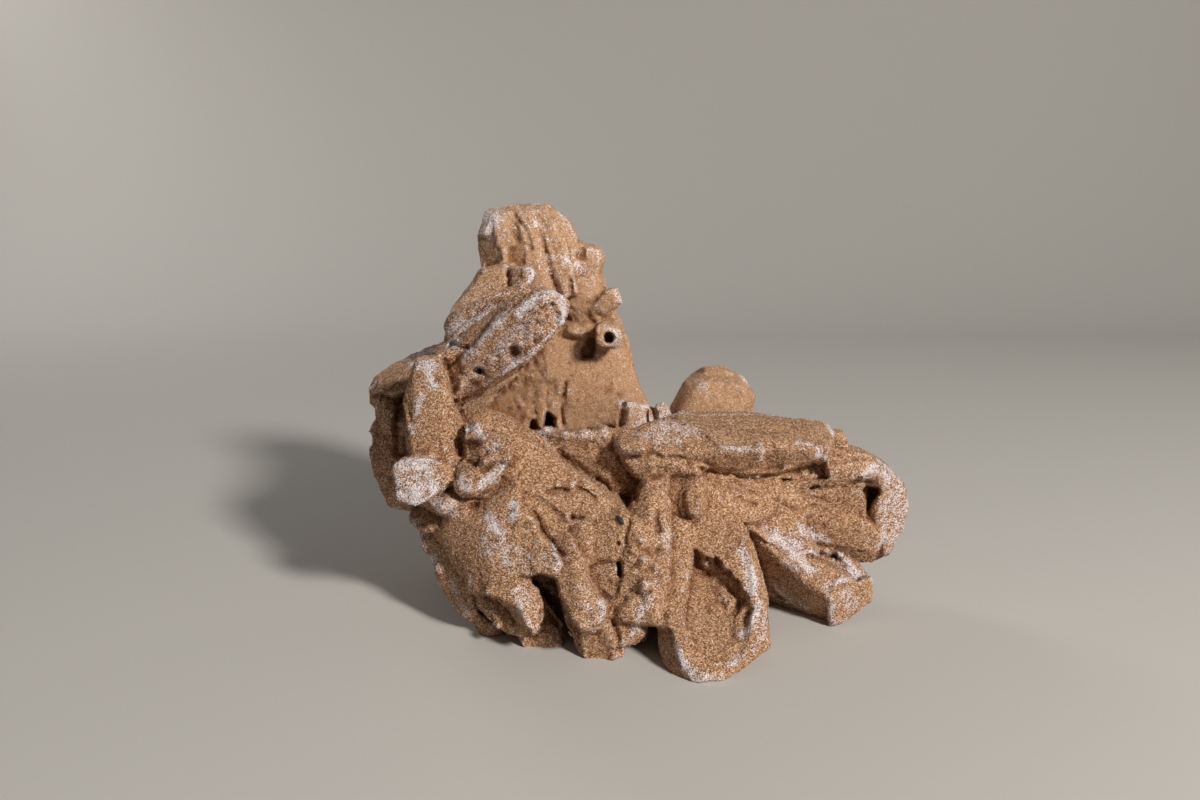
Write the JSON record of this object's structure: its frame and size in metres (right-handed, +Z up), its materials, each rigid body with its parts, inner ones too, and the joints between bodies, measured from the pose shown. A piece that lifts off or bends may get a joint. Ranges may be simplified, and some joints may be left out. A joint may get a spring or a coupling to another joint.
{
  "type": "red selenite cluster",
  "caption": "Cluster of thick, sandy gypsum blades grown together, with a tall peak at the back, a curved shell of finger-ended blades and a fan of broad blades to one side.",
  "frame": {"origin": "middle of the cluster's box, on the plane that it rests on", "axes": "+X to the right along the longest extent, towards the fan of blades, +Y away from the front, +Z up"},
  "size_m": [0.1243, 0.0816, 0.0906],
  "materials": {
    "sandy_gypsum": "matte"
  },
  "bodies": {
    "root": {"selenite_cluster": "sandy_gypsum"}
  },
  "joints": []
}
